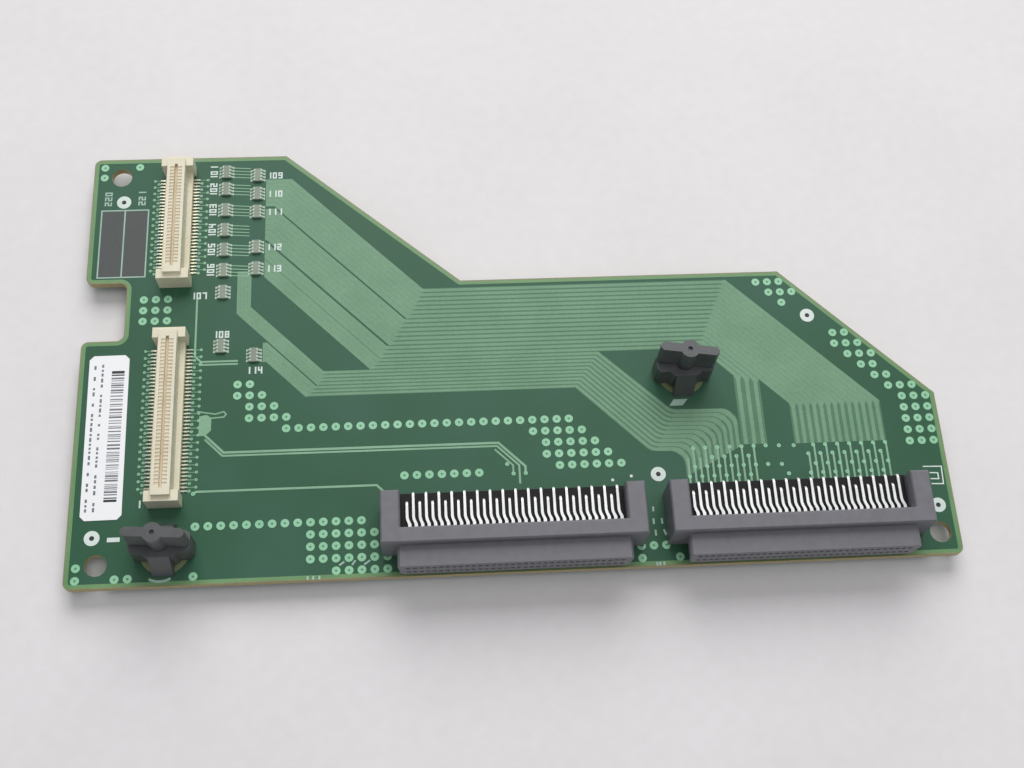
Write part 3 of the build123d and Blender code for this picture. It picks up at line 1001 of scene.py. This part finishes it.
def bent_contact(solids, x, start_y, z, tail_y, tail_z):
    """A contact that steps aside before it enters the beam, and bends down to its tail."""
    rings = [contact_ring(x, y, z, 0, contact_width) for y in (start_y, beam_back - straight_end)]
    for past, shift, width in contact_bends:
        rings.append(contact_ring(x + shift, beam_back + past, z, 0, width))
    for k in range(bend_steps):
        turn = math.radians(90 / (bend_steps - 1) * k)
        y = tail_y - bend_radius * (1 - math.sin(turn))
        drop = bend_radius * (1 - math.cos(turn))
        rings.append(contact_ring(x, y, z - drop, turn, contact_flat - bend_thinning * (k + 1)))
    rings.append(contact_ring(x, tail_y, tail_z, math.pi / 2, contact_width - tail_taper))
    solids.loft(rings)


def tail_places(low, high):
    """Where a row's tails go through the board: every second one stands further back."""
    far = high.y - contact_thick / 2
    return [(low.x + contact_width / 2 + i * contact_pitch, far if i % 2 else far - tail_spacing)
            for i in range(contacts_per_row)]


def tail_joint(x, y):
    """The cone of solder round one tail, under the board."""
    return [[(px, py, z) for px, py in reversed(circle(x, y, joint_radius * share, 10))]
            for z, share in joint_profile]


joints = Solids()
for side in ("left", "right"):
    for level in ("upper", "lower"):
        for x, y in tail_places(*node_box(f"{side}_port_{level}_contacts")):
            joints.loft(tail_joint(x, y))
    node = f"{side}_port_upper_contacts"
    low, high = node_box(node)
    bent = Solids()
    for x, tail_y in tail_places(low, high):
        bent_contact(bent, x, low.y, high.z - contact_thick / 2, tail_y, low.z)
    bent_piece = bent.piece(f"{side}_bent_contacts", materials["tinned_contact"])
    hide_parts(node)
joints.piece("tail_joints", materials["solder"])

# A near-black plate of painted shade that the upper contacts lie over, and that their near tails pass
# through
tray_rise = 0.75
tray_margin = 1.25
tray_below = 0.25
tray_front = beam_back + 0.02
tray_back_gap = 0.05
shade_plates = Solids()
for side in ("left", "right"):
    low, high = node_box(f"{side}_port_upper_contacts")
    tray_top = high.z - contact_thick - tray_below
    shade_plates.box(low.x - tray_margin, high.x + tray_margin, tray_front, high.y - contact_thick - tray_back_gap,
              tray_top - tray_rise, tray_top)
shade_plates.piece("contact_painted_shade", materials["dark_moulding"])


# Stage, light and camera, in metres

floor_middle = (0.083, 0.04)
floor_span = 1.6
floor_gap = 0.0002
camera_lens = 47.1
camera_place = (0.0675, -0.07335, 0.26066)
camera_turn = (22.955, -2.320, -3.053)
light_target = (0.08, 0.04, 0)
lights = (("key", (0.15, 1.0, 0.95), 1.1, 13.7), ("fill", (0.3, -0.15, 1.3), 0.9, 3.4))
sky_colour = (0.93, 0.95, 1.0, 1.0)
sky_strength = 0.32


def make_floor():
    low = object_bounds()[0]
    mesh = bpy.data.meshes.new("floor")
    corners = [(floor_middle[0] + sx * floor_span, floor_middle[1] + sy * floor_span, low.z - floor_gap)
               for sx, sy in ((-1, -1), (1, -1), (1, 1), (-1, 1))]
    mesh.from_pydata(corners, [], [(0, 1, 2, 3)])
    obj = bpy.data.objects.new("floor", mesh)
    bpy.context.scene.collection.objects.link(obj)
    mesh.materials.append(plain_material(
        "floor_paper", colour(232, 228, 228), colour(238, 235, 235), 3.0, (0.7, 0.8), 0.01))


def area_light(name, place, size, power):
    data = bpy.data.lights.new(name, "AREA")
    data.shape = "SQUARE"
    data.size = size
    data.energy = power
    obj = bpy.data.objects.new(name, data)
    bpy.context.scene.collection.objects.link(obj)
    obj.location = place
    obj.rotation_euler = (Vector(light_target) - Vector(place)).to_track_quat("-Z", "Y").to_euler()


def make_camera():
    data = bpy.data.cameras.new("camera")
    data.lens = camera_lens
    data.sensor_width = 36.0
    data.clip_start = 0.01
    data.clip_end = 10
    obj = bpy.data.objects.new("camera", data)
    bpy.context.scene.collection.objects.link(obj)
    obj.location = camera_place
    obj.rotation_euler = Euler([math.radians(a) for a in camera_turn], "XYZ")
    bpy.context.scene.camera = obj


def make_world():
    world = bpy.data.worlds.new("studio")
    bpy.context.scene.world = world
    world.use_nodes = True
    background = world.node_tree.nodes["Background"]
    background.inputs["Color"].default_value = sky_colour
    background.inputs["Strength"].default_value = sky_strength


make_floor()
make_camera()
make_world()
for name, place, size, power in lights:
    area_light(name, place, size, power)
bpy.context.scene.view_settings.view_transform = "Standard"
